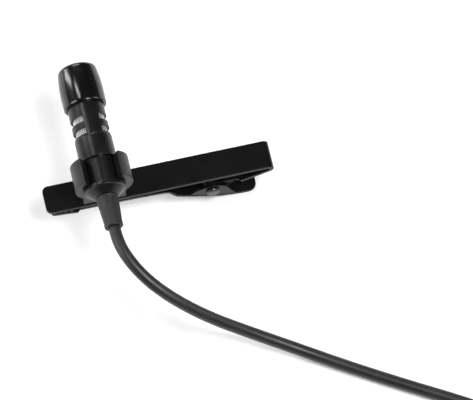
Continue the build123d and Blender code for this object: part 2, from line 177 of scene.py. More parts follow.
# a material and its node tree; the sockets named when it is made are the same all over
class Finish:
    def __init__(self, name, **constants):
        self.material = bpy.data.materials.new(name)
        self.material.use_nodes = True
        self.tree = self.material.node_tree
        self.shader = self.tree.nodes["Principled BSDF"]
        for socket, value in constants.items():
            self.shader.inputs[socket.replace("_", " ")].default_value = value

    def node(self, kind, settings=None, inputs=None, output=0):
        made = self.tree.nodes.new(kind)
        for key, value in (settings or {}).items():
            setattr(made, key, value)
        for key, value in (inputs or {}).items():
            self.join(value, made.inputs[key])
        return Wire(self, made.outputs[output])

    def join(self, value, socket):
        if isinstance(value, Wire):
            self.tree.links.new(value.socket, socket)
        else:
            socket.default_value = value

    def feed(self, **values):
        for socket, value in values.items():
            self.join(value, self.shader.inputs[socket.replace("_", " ")])
        return self

    def place(self, stretch=(1, 1, 1)):
        spot = self.node("ShaderNodeTexCoord", output="Object")
        return self.node("ShaderNodeMapping", inputs={"Vector": spot, "Scale": stretch})

    def noise(self, scale, detail=3.0, roughness=0.55, where=None):
        return self.node("ShaderNodeTexNoise", inputs={"Vector": where or self.place(), "Scale": scale,
                                                       "Detail": detail, "Roughness": roughness})

    def ramp(self, value, low, high):
        return self.node("ShaderNodeMapRange", {"clamp": True},
                         {"Value": value, "From Min": low, "From Max": high})

    def mix(self, factor, first, second):
        return self.node("ShaderNodeMix", {"data_type": "RGBA"}, {0: factor, 6: first, 7: second}, output=2)

    def bump(self, height, distance, strength):
        normal = self.node("ShaderNodeBump",
                           inputs={"Height": height, "Distance": distance, "Strength": strength})
        self.join(normal, self.shader.inputs["Normal"])
        return self


def grey(level):
    return (level, level, level * 1.03, 1.0)        # a trace of blue, as black plastic has


def shaded(colour, share):
    return (*[share * channel for channel in colour[:3]], 1.0)


# in every look: dark and light are the two greys that are mixed, rough and roughSpread the least roughness
# and what the pattern adds to it, scale is features per metre, height is the bump in metres
capLook = {"specular": 0.45, "coat": 0.25, "coatRough": 0.06, "dark": 0.004, "dust": 0.05, "dustShare": 0.25,
           "rough": 0.13, "hazeRough": 0.12, "dustRough": 0.25, "hazeCoat": 0.2, "hazeScale": 900,
           "dustScale": 5200, "scale": 2600, "height": 0.000006}


def makeGlossCap(look):
    finish = Finish("capGloss", Specular_IOR_Level=look["specular"], Coat_Roughness=look["coatRough"])
    haze = finish.noise(look["hazeScale"], 4)
    dust = finish.ramp(finish.noise(look["dustScale"], 2, 0.7), 0.70, 0.78)
    finish.feed(Base_Color=finish.mix(dust * look["dustShare"], grey(look["dark"]), grey(look["dust"])),
                Roughness=look["rough"] + look["hazeRough"] * haze + look["dustRough"] * dust,
                Coat_Weight=look["coat"] - look["hazeCoat"] * haze)
    return finish.bump(finish.noise(look["scale"], 2), look["height"], 0.25)


bodyLook = {"specular": 0.36, "dark": 0.003, "light": 0.006, "rough": 0.24, "roughSpread": 0.14,
            "smudgeScale": 500, "scale": 60, "ringStretch": 160, "height": 0.00001}


def makeSatinBody(look):
    finish = Finish("bodySatin", Specular_IOR_Level=look["specular"])
    # fine rings left by turning
    turned = finish.noise(look["scale"], 2, 0.5, finish.place((1, look["ringStretch"], 1)))
    smudge = finish.noise(look["smudgeScale"], 4)
    finish.feed(Base_Color=finish.mix(smudge, grey(look["dark"]), grey(look["light"])),
                Roughness=look["rough"] + look["roughSpread"] * smudge)
    return finish.bump(turned, look["height"], 0.35)


holderLook = {"specular": 0.42, "dark": 0.004, "light": 0.009, "rough": 0.34, "roughSpread": 0.16,
              "cloudScale": 450, "scale": 6500, "height": 0.000012}


def makeMouldedHolder(look):
    finish = Finish("holderMoulded", Specular_IOR_Level=look["specular"])
    grain = finish.noise(look["scale"], 3, 0.6)
    cloud = finish.noise(look["cloudScale"], 3)
    finish.feed(Base_Color=finish.mix(cloud, grey(look["dark"]), grey(look["light"])),
                Roughness=look["rough"] + look["roughSpread"] * cloud)
    return finish.bump(grain, look["height"], 0.5)


clipLook = {"specular": 0.16, "coat": 0.08, "coatRough": 0.25, "dark": 0.003, "scuff": 0.03,
            "scuffShare": 0.3, "rough": 0.28, "roughSpread": 0.16, "scuffRough": 0.10, "smudgeScale": 260,
            "scuffScale": 700, "scuffStretch": (0.25, 1.6, 1.6), "scale": 2400, "height": 0.00001}


def makeClipCoat(look):
    finish = Finish("clipCoat", Specular_IOR_Level=look["specular"], Coat_Roughness=look["coatRough"])
    orangePeel = finish.noise(look["scale"], 2)
    smudge = finish.noise(look["smudgeScale"], 4)
    scuffs = finish.ramp(finish.noise(look["scuffScale"], 5, 0.75, finish.place(look["scuffStretch"])),
                         0.66, 0.74)
    finish.feed(Base_Color=finish.mix(scuffs * look["scuffShare"], grey(look["dark"]), grey(look["scuff"])),
                Roughness=look["rough"] + look["roughSpread"] * smudge + look["scuffRough"] * scuffs,
                Coat_Weight=look["coat"] * smudge)
    return finish.bump(orangePeel, look["height"], 0.4)


metalLook = {"worn": 0.82, "roughSpread": 0.18, "scale": 800, "height": 0.000006}


def makeMetal(name, colour, rough, brush=(1, 1, 1), look=metalLook):
    finish = Finish(name, Metallic=1.0)
    streaks = finish.noise(look["scale"], 4, 0.6, finish.place(brush))
    finish.feed(Base_Color=finish.mix(streaks, colour, shaded(colour, look["worn"])),
                Roughness=rough + look["roughSpread"] * streaks)
    return finish.bump(streaks, look["height"], 0.3)


rubberLook = {"specular": 0.45, "roughSpread": 0.22, "mottleScale": 1500, "scale": 3600, "height": 0.00002}


def makeRubber(name, dark, light, rough, look=rubberLook):
    finish = Finish(name, Specular_IOR_Level=look["specular"])
    mottle = finish.ramp(finish.noise(look["mottleScale"], 4, 0.65), 0.35, 0.68)
    finish.feed(Base_Color=finish.mix(mottle, grey(dark), grey(light)),
                Roughness=rough + look["roughSpread"] * mottle)
    return finish.bump(finish.noise(look["scale"], 3), look["height"], 0.45)


jacketLook = {"specular": 0.5, "dark": 0.012, "light": 0.021, "rough": 0.32, "roughSpread": 0.16,
              "cloudScale": 260, "scale": 3000, "height": 0.00001}


def makeJacket(look):
    finish = Finish("cordJacket", Specular_IOR_Level=look["specular"])
    cloud = finish.noise(look["cloudScale"], 4)
    finish.feed(Base_Color=finish.mix(cloud, grey(look["dark"]), grey(look["light"])),
                Roughness=look["rough"] + look["roughSpread"] * cloud)
    return finish.bump(finish.noise(look["scale"], 3), look["height"], 0.4)


def makeFoam(name, dark, light, scale, height=0.0001):
    finish = Finish(name, Roughness=0.95)
    cells = finish.node("ShaderNodeTexVoronoi", inputs={"Vector": finish.place(), "Scale": scale})
    finish.feed(Base_Color=finish.mix(finish.ramp(cells, 0.1, 0.7), grey(dark), grey(light)))
    return finish.bump(cells, height, 0.8)


plasticLook = {"worn": 0.8, "roughSpread": 0.15, "cloudScale": 700, "scale": 4000, "height": 0.00001}


def makePlastic(name, colour, rough, look=plasticLook):
    finish = Finish(name)
    cloud = finish.noise(look["cloudScale"], 3)
    finish.feed(Base_Color=finish.mix(cloud, colour, shaded(colour, look["worn"])),
                Roughness=rough + look["roughSpread"] * cloud)
    return finish.bump(finish.noise(look["scale"], 2), look["height"], 0.4)


strapLook = {"specular": 0.3, "dark": 0.010, "light": 0.035, "rough": 0.72, "roughSpread": 0.2,
             "threadScale": 900.0, "threadBend": 1.5, "scale": 3000, "height": 0.00005}


def makeStrap(look):
    finish = Finish("tieStrap", Specular_IOR_Level=look["specular"])
    threads = finish.node("ShaderNodeTexWave", {"bands_direction": "Z"},
                          {"Vector": finish.place(), "Scale": look["threadScale"],
                           "Distortion": look["threadBend"], "Detail": 2.0, "Detail Scale": 3.0})
    fuzz = finish.noise(look["scale"], 4)
    finish.feed(Base_Color=finish.mix(fuzz, grey(look["dark"]), grey(look["light"])),
                Roughness=look["rough"] + look["roughSpread"] * threads)
    return finish.bump(threads + fuzz, look["height"], 0.7)


# one finish for each material slot: colour or two greys, then roughness
finishes = {
    "cap_gloss": makeGlossCap(capLook),
    "body_black": makeSatinBody(bodyLook),
    "holder_plastic": makeMouldedHolder(holderLook),
    "clip_paint": makeClipCoat(clipLook),
    "mesh_steel": makeMetal("meshSteel", (0.95, 0.94, 0.91, 1.0), 0.30),
    "can_metal": makeMetal("canMetal", (0.80, 0.80, 0.80, 1.0), 0.30),
    "rivet_steel": makeMetal("rivetSteel", (0.45, 0.45, 0.46, 1.0), 0.32),
    "pin_steel": makeMetal("pinSteel", (0.11, 0.11, 0.115, 1.0), 0.2),
    "spring_steel": makeMetal("springSteel", (0.78, 0.78, 0.77, 1.0), 0.22),
    "plug_metal": makeMetal("plugMetal", (0.86, 0.83, 0.77, 1.0), 0.12, brush=(1, 30, 1)),
    "brass": makeMetal("brass", (0.80, 0.60, 0.28, 1.0), 0.25),
    "relief_rubber": makeRubber("reliefRubber", 0.005, 0.020, 0.36),
    "boot_rubber": makeRubber("bootRubber", 0.010, 0.020, 0.55),
    "cord_jacket": makeJacket(jacketLook),
    "foam": makeFoam("foam", 0.006, 0.025, 2600.0),
    "felt": makeFoam("felt", 0.02, 0.05, 6000.0),
    "board_green": makePlastic("boardGreen", (0.02, 0.16, 0.06, 1.0), 0.35),
    "wire_red": makePlastic("wireRed", (0.45, 0.02, 0.015, 1.0), 0.3),
    "wire_white": makePlastic("wireWhite", (0.75, 0.74, 0.70, 1.0), 0.3),
    "grip_plastic": makePlastic("gripPlastic", grey(0.012), 0.34),
    "insulator": makePlastic("insulator", grey(0.010), 0.2),
    "tie_strap": makeStrap(strapLook),
}
slotOfNode = {part["node"]: part["material_slot"] for part in frame["record"]["subparts"]}
for nodeName, node in frame["nodes"].items():
    node.data.materials.clear()
    node.data.materials.append(finishes[slotOfNode[nodeName]].material)
print("materials ready")


# gives a piece its finish, the CAD nodes it stands for and the body it moves with
def settlePiece(piece, node, body, extraNodes=()):
    slotName = slotOfNode[node]
    piece.data.materials.clear()
    piece.data.materials.append(finishes[slotName].material)
    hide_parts(node, *extraNodes)
    if body:
        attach(piece, body)
    return piece


def closeSeams(bm):
    bmesh.ops.remove_doubles(bm, verts=bm.verts[:], dist=tiny)
    bmesh.ops.recalc_face_normals(bm, faces=bm.faces[:])


def finishPiece(name, bm, node, body):
    closeSeams(bm)
    mesh = bpy.data.meshes.new(name)
    bm.to_mesh(mesh)
    bm.free()
    mesh.shade_smooth()
    mesh.set_sharp_from_angle(angle=math.radians(32.0))
    piece = bpy.data.objects.new(name, mesh)
    scene.collection.objects.link(piece)
    return settlePiece(piece, node, body)


def newCurve(name, diameter, roundness):
    curve = bpy.data.curves.new(name, "CURVE")
    curve.dimensions = "3D"
    curve.bevel_depth = diameter / 2
    curve.bevel_resolution = roundness
    return curve


def addSpline(curve, spots, smoothness, cyclic=False):
    line = curve.splines.new("NURBS")
    line.points.add(len(spots) - 1)
    for point, spot in zip(line.points, spots):
        point.co = (*spot, 1.0)
    line.order_u = 3                # only works once the points are there
    line.use_endpoint_u = not cyclic
    line.use_cyclic_u = cyclic
    line.resolution_u = smoothness


def meshFromCurve(curve, name):
    made = bpy.data.objects.new(name, curve)
    scene.collection.objects.link(made)
    bpy.context.view_layer.update()
    mesh = bpy.data.meshes.new_from_object(made.evaluated_get(bpy.context.evaluated_depsgraph_get()))
    bpy.data.objects.remove(made)
    mesh.name = name
    piece = bpy.data.objects.new(name, mesh)
    scene.collection.objects.link(piece)
    mesh.shade_smooth()
    return piece


def vertsIn(items):
    return [item for item in items if isinstance(item, bmesh.types.BMVert)]


def roundCorners(bm, points, rounding, segments):
    bmesh.ops.bevel(bm, geom=points, offset=rounding * mm, offset_type="OFFSET", segments=segments,
                    profile=0.5, affect="VERTICES", material=-1)


# a wire through (across, up, rounding) corners; each rounding is bevelled into an arc
def drawOutline(bm, corners, closed=False):
    points = [bm.verts.new((across * mm, 0, up * mm)) for across, up, _ in corners]
    ends = points[1:] + points[:1] if closed else points[1:]
    for pair in zip(points, ends):
        bm.edges.new(pair)
    for point, (_, _, rounding) in zip(points, corners):
        if rounding:
            roundCorners(bm, [point], rounding, 6)


def spinOutline(bm, steps, angle=2 * math.pi):
    wholeTurn = angle > math.radians(359)
    bmesh.ops.spin(bm, geom=bm.verts[:] + bm.edges[:], cent=(0, 0, 0), axis=(0, 0, 1), angle=angle,
                   steps=steps, use_merge=wholeTurn)
    closeSeams(bm)


def toAxis(bm, place):
    # lays a shape spun about Z down along +Y, with its origin at place
    bm.transform(Matrix.Translation(place) @ Matrix.Rotation(-math.pi / 2, 4, "X"))


# a piece turned from (radius, distance along its axis, rounding) corners
def turnedPiece(name, corners, place, node, body, steps=96, upright=False):
    bm = bmesh.new()
    drawOutline(bm, corners, closed=corners[0][0] > 0)
    spinOutline(bm, steps)
    if upright:
        bm.transform(Matrix.Translation(place))
    else:
        toAxis(bm, place)
    return finishPiece(name, bm, node, body)


def fillAndExtrude(bm, depth):
    bmesh.ops.edgeloop_fill(bm, edges=bm.edges[:])
    raised = bmesh.ops.extrude_face_region(bm, geom=bm.faces[:])["geom"]
    bmesh.ops.translate(bm, verts=vertsIn(raised), vec=(0, depth * mm, 0))


def joinInto(bm, other):
    mesh = bpy.data.meshes.new("joined")
    other.to_mesh(mesh)
    other.free()
    bm.from_mesh(mesh)
    bpy.data.meshes.remove(mesh)


# a plate of (x, z, rounding) corners from y = low to y = high
def addPlate(bm, corners, low, high):
    plate = bmesh.new()
    drawOutline(plate, corners, closed=True)
    fillAndExtrude(plate, high - low)
    bmesh.ops.translate(plate, verts=plate.verts[:], vec=(0, low * mm, 0))
    bmesh.ops.recalc_face_normals(plate, faces=plate.faces[:])
    joinInto(bm, plate)


# gives a shell a wall, half to each side
def thicken(bm, thickness):
    mesh = bpy.data.meshes.new("shell")
    bm.to_mesh(mesh)
    bm.free()
    shell = bpy.data.objects.new("shell", mesh)
    scene.collection.objects.link(shell)
    wall = shell.modifiers.new("wall", "SOLIDIFY")
    wall.thickness, wall.offset, wall.use_even_offset = thickness * mm, 0.0, True
    bpy.context.view_layer.update()
    solid = bmesh.new()
    solid.from_object(shell, bpy.context.evaluated_depsgraph_get())
    bpy.data.objects.remove(shell)
    bpy.data.meshes.remove(mesh)
    return solid


# sheet metal bent along (x, z, rounding) corners; halfWidth gives half its width at an x
def bentStrip(corners, halfWidth, thickness, roundedEnds):
    bm = bmesh.new()
    drawOutline(bm, corners)
    far = set(vertsIn(bmesh.ops.extrude_edge_only(bm, edges=bm.edges[:])["geom"]))
    for point in bm.verts:
        point.co.y = (1 if point in far else -1) * halfWidth(point.co.x / mm) * mm
    for x, rounding in roundedEnds.items():
        roundCorners(bm, [point for point in bm.verts if abs(point.co.x - x * mm) < 10 * tiny], rounding, 8)
    bmesh.ops.recalc_face_normals(bm, faces=bm.faces[:])        # before the wall, or its corners spike
    return thicken(bm, thickness)


def softenEdges(piece, width, segments, angle):
    bevel = piece.modifiers.new("softEdges", "BEVEL")
    bevel.width, bevel.segments = width * mm, segments
    bevel.limit_method, bevel.angle_limit = "ANGLE", math.radians(angle)
    bevel.harden_normals = True
    return piece


tubeSizes = {"neckRadius": 3.05, "barrelRadius": 3.65, "windowRadius": 3.56, "throat": 2.2, "wall": 0.52,
             "slotHeight": 1.35, "rib": 1.2, "postSteps": 20, "slotSteps": 48, "postTurn": 6.5, "edge": 0.07}
tubeBottom, tubeTop = along("body_tube")
meshBottom, meshTop = along("mesh_screen")
slotOne = meshBottom + 0.3                                      # the mesh reaches a little past the slots
slotTwo = slotOne + tubeSizes["slotHeight"] + tubeSizes["rib"]


# the wall round the sound slots: two rows of slots between two posts
def makeWindowCage(size, low):
    cage = bmesh.new()
    levels = [low, slotOne, slotOne + size["slotHeight"], slotTwo, slotTwo + size["slotHeight"], tubeTop]
    drawOutline(cage, [(size["windowRadius"] - size["wall"] / 2, level, 0) for level in levels])
    steps = 2 * (size["postSteps"] + size["slotSteps"])
    step = 2 * math.pi / steps
    spinOutline(cage, steps)
    # the outline starts at a post's edge, so every slot ends on a step
    firstEdge = math.radians(90 + size["postTurn"]) - size["postSteps"] / 2 * step
    cage.transform(Matrix.Rotation(firstEdge, 4, "Z"))
    slotFaces = []
    for face in cage.faces:
        centre = face.calc_center_median()
        row = centre.z / mm
        turn = (math.atan2(centre.y, centre.x) - firstEdge) % math.pi
        inRow = any(slot < row < slot + size["slotHeight"] for slot in (slotOne, slotTwo))
        if inRow and turn > size["postSteps"] * step:
            slotFaces.append(face)
    bmesh.ops.delete(cage, geom=slotFaces, context="FACES")
    return thicken(cage, size["wall"])


def makeBodyTube(size):
    neck, barrel, window = size["neckRadius"], size["barrelRadius"], size["windowRadius"]
    throat, bore = size["throat"], window - size["wall"]
    neckTop, split = -tubeBottom, slotOne - 0.12        # the wall is turned below split and slotted above it
    bm = bmesh.new()
    drawOutline(bm, [
        (throat, tubeBottom, 0), (neck, tubeBottom, 0.12), (neck, neckTop, 0.05), (barrel, neckTop, 0.15),
        (barrel, split - 0.3, 0.15), (window, split - 0.15, 0.05), (window, split, 0), (bore, split, 0),
        (bore, neckTop + 0.2, 0), (throat, neckTop + 0.2, 0),
    ], closed=True)
    spinOutline(bm, 136)
    joinInto(bm, makeWindowCage(size, split))
    toAxis(bm, holderMiddle)
    return softenEdges(finishPiece("bodyTube", bm, "body_tube", "microphone"), size["edge"], 2, 50.0)


makeBodyTube(tubeSizes)

screenSizes = {"radius": 2.965, "crimp": 0.04, "wire": 0.13, "lengthwise": 44, "rings": 11}


# woven wire: each lengthwise wire passes over one ring and under the next
def makeMeshScreen(size):
    curve = newCurve("screen", size["wire"] * mm, 1)
    around, rows = size["lengthwise"], size["rings"]
    pitch = (meshTop - meshBottom) / (rows + 1)

    def crossing(wire, row, side):
        radius = size["radius"] + side * size["crimp"] * (1 if (wire + row) % 2 else -1)
        angle = 2 * math.pi * wire / around
        return holderMiddle + Vector((radius * math.cos(angle), meshBottom + pitch * row,
                                      radius * math.sin(angle))) * mm

    for wire in range(around):
        addSpline(curve, [crossing(wire, row, 1) for row in range(rows + 2)], 2)
    for row in range(1, rows + 1):
        addSpline(curve, [crossing(wire, row, -1) for wire in range(around)], 2, cyclic=True)
    return settlePiece(meshFromCurve(curve, "meshScreen"), "mesh_screen", "microphone")


makeMeshScreen(screenSizes)

foamSizes = {"radius": 2.9, "lowRound": 0.2, "highRound": 0.4}
turnedPiece("foamPlug", [
    (0, meshBottom, 0), (foamSizes["radius"], meshBottom, foamSizes["lowRound"]),
    (foamSizes["radius"], meshTop, foamSizes["highRound"]), (0, meshTop, 0),
], holderMiddle, "foam_plug", "microphone")

# waistLevel is a share of the cap's length; domeFall is how far the top has fallen at each radius
capSizes = {"rim": 4.17, "waist": 4.25, "waistLevel": 0.32, "shoulder": 3.86, "corner": 0.95, "dome": 0.2,
            "domeFall": {0: 0, 1.4: 0.04, 2.4: 0.13}, "cornerFall": 0.24, "cornerRadius": 3.74,
            "sideSteps": 14, "socket": 3.62, "spigot": 3.03, "spigotLength": 1.0, "hole": 2.1, "chamber": 2.9,
            "roof": 1.6}


def makeCap(size):
    low, top = along("cap")
    shoulderLevel = top - size["dome"] - size["corner"]
    waistLevel = low + size["waistLevel"] * (top - low)

    # the side is fullest at the waist and falls away as a parabola to the shoulder and to the rim
    def sideRadius(level):
        end, endLevel = ("shoulder", shoulderLevel) if level > waistLevel else ("rim", low)
        share = (level - waistLevel) / (endLevel - waistLevel)
        return size["waist"] - (size["waist"] - size[end]) * share ** 2

    corners = [(radius, top - fall, 0) for radius, fall in size["domeFall"].items()]
    corners.append((size["cornerRadius"], top - size["cornerFall"], size["corner"]))
    for step in range(size["sideSteps"] + 1):
        level = shoulderLevel + (low + 0.12 - shoulderLevel) * step / size["sideSteps"]
        corners.append((sideRadius(level), level, 0))
    spigotEnd = tubeTop - size["spigotLength"]
    corners += [
        (size["rim"] - 0.05, low, 0.05), (size["socket"], low, 0.05), (size["socket"], tubeTop, 0),
        (size["spigot"], tubeTop, 0), (size["spigot"], spigotEnd, 0.1), (size["hole"], spigotEnd, 0),
        (size["hole"], low + 1.2, 0), (size["chamber"], low + 2.2, 0),
        (size["chamber"], top - size["roof"], 0.3), (0, top - size["roof"], 0),
    ]
    return turnedPiece("capShell", corners, holderMiddle, "cap", "microphone", steps=128)


makeCap(capSizes)

tailSizes = {"throat": 1.5, "plug": 2.2, "flange": 4.2, "flangeLength": 0.9, "coneTop": 3.66, "coneEnd": 2.42,
             "socket": 1.9, "grooveLow": 0.6, "grooveHigh": 1.6}
shellLow, shellHigh = along("tail_shell")


def makeTailShell(size):
    throat, plug, flange, socket = size["throat"], size["plug"], size["flange"], size["socket"]
    flangeEnd = tubeBottom - size["flangeLength"]
    grooveLow, grooveHigh = shellLow + size["grooveLow"], shellLow + size["grooveHigh"]
    return turnedPiece("tailShell", [
        (throat, shellHigh, 0), (plug, shellHigh, 0.1), (plug, tubeBottom, 0), (flange, tubeBottom, 0.22),
        (flange, flangeEnd, 0.2), (size["coneTop"] + 0.12, flangeEnd, 0.05),
        (size["coneTop"], flangeEnd - 0.12, 0.08), (size["coneEnd"], shellLow, 0.28), (socket, shellLow, 0),
        (socket, grooveLow, 0), (plug, grooveLow, 0), (plug, grooveHigh, 0), (throat, grooveHigh, 0),
    ], holderMiddle, "tail_shell", "microphone", steps=112)


makeTailShell(tailSizes)

reliefSizes = {"root": 2.15, "tip": 1.75, "lip": 1.84, "lipLength": 0.7, "mouth": 1.3, "stem": 1.9,
               "head": 2.19}


def makeStrainRelief(size):
    low, high = along("strain_relief")
    lipEnd = low + size["lipLength"]
    neck = size["tip"] + (size["root"] - size["tip"]) * size["lipLength"] / (shellLow - low)
    headLow = shellLow + tailSizes["grooveLow"]
    return turnedPiece("strainRelief", [
        (0, low + 0.15, 0), (size["mouth"] - 0.08, low + 0.15, 0.05), (size["mouth"], low, 0.1),
        (size["lip"], low, 0.25), (size["lip"], lipEnd, 0.2), (neck, lipEnd + 0.15, 0.1),
        (size["root"], shellLow - 0.25, 0.1), (size["root"] + 0.06, shellLow, 0.1),
        (size["stem"], shellLow, 0), (size["stem"], headLow, 0), (size["head"], headLow, 0.1),
        (size["head"], high, 0.1), (0, high, 0),
    ], holderMiddle, "strain_relief", "microphone")


makeStrainRelief(reliefSizes)
print("microphone made")

holderSizes = {"outer": 5.7, "bore": 3.10, "footHalf": 4.2, "drop": 7.0, "mouthInner": 2.65,
               "mouthOuter": 3.65, "tipRound": 0.45, "outerSteps": 30, "boreSteps": 56, "edge": 0.3}


# a C-shaped clamp on a foot, open upwards
def makeHolder(size):
    bm = bmesh.new()

    def level(radius, across):
        return math.sqrt(radius ** 2 - across ** 2)

    # spins one vertex about the axis from one corner to the other, clockwise, and gives its two ends
    def arc(start, end, steps):
        first = bm.verts.new((start[0] * mm, 0, start[1] * mm))
        sweep = (math.atan2(start[1], start[0]) - math.atan2(end[1], end[0])) % (2 * math.pi)
        made = bmesh.ops.spin(bm, geom=[first], cent=(0, 0, 0), axis=(0, 1, 0), angle=sweep, steps=steps)
        return first, vertsIn(made["geom_last"])[0]

    inner, outer, foot, drop = size["mouthInner"], size["mouthOuter"], size["footHalf"], size["drop"]
    mouthLow, mouthHigh = level(size["bore"], inner), level(size["outer"], outer)
    hip = -level(size["outer"], foot)
    rightTop, rightHip = arc((outer, mouthHigh), (foot, hip), size["outerSteps"])
    leftHip, leftTop = arc((-foot, hip), (-outer, mouthHigh), size["outerSteps"])
    innerRight, innerLeft = arc((inner, mouthLow), (-inner, mouthLow), size["boreSteps"])
    rightFoot = bm.verts.new((foot * mm, 0, -drop * mm))
    leftFoot = bm.verts.new((-foot * mm, 0, -drop * mm))
    for pair in ((rightHip, rightFoot), (rightFoot, leftFoot), (leftFoot, leftHip), (leftTop, innerLeft),
                 (innerRight, rightTop)):
        bm.edges.new(pair)
    for tip in (rightTop, leftTop):
        roundCorners(bm, [tip], size["tipRound"], 5)
    low, high = along("holder")
    fillAndExtrude(bm, high - low)
    bm.transform(Matrix.Translation(holderMiddle + Vector((0, low * mm, 0))))
    return softenEdges(finishPiece("holderRing", bm, "holder", "clip"), size["edge"], 3, 35.0)


makeHolder(holderSizes)

rivetSizes = {"head": 1.25, "headRise": 0.35, "barBack": 9.4, "shank": 0.85, "button": 1.5,
              "buttonLow": 13.35, "buttonTop": 14.05}


def makeRivet(size):
    headLow = size["barBack"] - size["headRise"]
    return turnedPiece("holderRivet", [
        (0, headLow, 0), (size["head"], headLow, 0.22), (size["head"], size["barBack"], 0),
        (size["shank"], size["barBack"], 0), (size["shank"], size["buttonLow"], 0),
        (size["button"], size["buttonLow"], 0.1), (size["button"], size["buttonTop"], 0.3),
        (0, size["buttonTop"], 0),
    ], clipMiddle, "holder_rivet", "clip", steps=48, upright=True)


makeRivet(rivetSizes)

stripSizes = {"thickness": 0.9, "left": -11.4, "right": 33.3, "middle": 9.85, "halfWidth": 2.8,
              "corner": 1.15, "foldRadius": 0.8, "foldBends": 14, "leafEnd": 23.9, "leafEndLevel": 4.85,
              "earRoot": 26.5, "earHalf": 2.2, "earThickness": 0.6, "earRadius": 1.7, "pinX": 21.2,
              "pinZ": 4.55, "edge": 0.14}


# the bar, its fold and the leaf under it are one bent strip, with an ear at each side of the leaf
def makeClipBar(size):
    radius, left, root = size["foldRadius"], size["left"], size["earRoot"]
    foldX = size["right"] - radius - size["thickness"] / 2
    foldZ = size["middle"] - radius
    run, drop = foldX - size["leafEnd"], foldZ - size["leafEndLevel"]
    slope = math.atan2(drop, run) - math.asin(radius / math.hypot(run, drop))
    leafStart = (foldX + radius * math.sin(slope), foldZ - radius * math.cos(slope))

    def leafLevel(x):
        return leafStart[1] - math.tan(slope) * (leafStart[0] - x)

    def halfWidth(x):
        onLeaf = left + 1 < x < root + 0.1
        return size["earHalf"] if onLeaf else size["halfWidth"]

    bends = size["foldBends"]
    angles = [(math.pi - slope) * bend / bends for bend in range(bends + 1)]
    fold = [(foldX + radius * math.sin(angle), foldZ + radius * math.cos(angle), 0) for angle in angles]
    leaf = [(x, leafLevel(x), 0) for x in (root + 0.3, root - 0.1, size["leafEnd"])]
    bm = bentStrip([(left, size["middle"], 0), *fold, *leaf], halfWidth, size["thickness"],
                   {left: size["corner"]})
    pinX, pinZ, ear = size["pinX"], size["pinZ"], size["earRadius"]
    for low in (-size["earHalf"], size["earHalf"] - size["earThickness"]):
        addPlate(bm, [
            (pinX - ear, pinZ - ear, ear * 0.95), (pinX - ear, pinZ + ear, ear * 0.8),
            (root - 0.3, leafLevel(root) + 0.3, 0), (root - 0.3, leafLevel(root) - 0.55, 0.2),
            (pinX + ear * 0.75, pinZ - ear, ear * 0.6),
        ], low, low + size["earThickness"])
    bm.transform(Matrix.Translation(clipMiddle))
    return softenEdges(finishPiece("clipBar", bm, "clip_bar", "clip"), size["edge"], 3, 40.0)


makeClipBar(stripSizes)

pinSizes = {"head": 1.3, "headLength": 0.6, "headRound": 0.38, "shank": 0.8}


def makePivotPin(size):
    end = (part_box("pivot_pin")[1].y - pinAxis.y) / mm
    inside = end - size["headLength"]
    return turnedPiece("pivotPin", [
        (0, -end, 0), (size["head"], -end, size["headRound"]), (size["head"], -inside, 0.06),
        (size["shank"], -inside, 0), (size["shank"], inside, 0), (size["head"], inside, 0.06),
        (size["head"], end, size["headRound"]), (0, end, 0),
    ], pinAxis, "pivot_pin", "clip", steps=64)


makePivotPin(pinSizes)

# legs are (x, z) from the pin; one bears on the back of the bar, the other on the lever
springSizes = {"wire": 0.55, "radius": 1.55, "turns": 3.5, "half": 1.0, "pointsPerTurn": 16,
               "barLeg": [(4.5, 4.55), (4.2, 3.9), (2.9, 2.3), (1.2, 1.75)],
               "leverLeg": [(1.5, -1.75), (3.4, -2.5), (5.3, -3.4)]}


def makeSpring(size):
    half = size["half"]
    steps = round(size["turns"] * size["pointsPerTurn"])
    radius = size["radius"] / math.cos(math.pi / size["pointsPerTurn"])     # the spline cuts its corners
    spots = [(x, -half, z) for x, z in size["barLeg"]]
    for step in range(steps + 1):
        angle = math.pi / 2 + 2 * math.pi * size["turns"] * step / steps
        spots.append((radius * math.cos(angle), half * (2 * step / steps - 1), radius * math.sin(angle)))
    spots += [(x, half, z) for x, z in size["leverLeg"]]
    curve = newCurve("springWire", size["wire"] * mm, 3)
    curve.use_fill_caps = True
    addSpline(curve, [pinAxis + Vector(spot) * mm for spot in spots], 3)
    spring = settlePiece(meshFromCurve(curve, "clipSpring"), "spring", None)
    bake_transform(spring)


makeSpring(springSizes)

# armLine is the plain arm's (x, z, rounding) corners; heel and knee are placed from the pin
leverSizes = {"thickness": 0.7, "halfWidth": 2.85, "armHalf": 2.3, "armStart": -5.3, "armEnd": 14.2,
              "armLine": [(-4.7, 7.6, 0.2), (6.3, 7.45, 1.0), (12.2, 6.95, 0.8)], "tip": -10.5,
              "tipRound": 0.6, "heelReach": 1.5, "heelDrop": 2.9, "kneeReach": 3.6, "kneeRise": 2.35,
              "tab": 30.0, "tabCorner": 1.6, "flange": 0.6, "flangeRadius": 2.0, "teeth": 4,
              "toothPitch": 1.1, "toothTop": 9.35, "toothHeight": 0.5, "edge": 0.1}


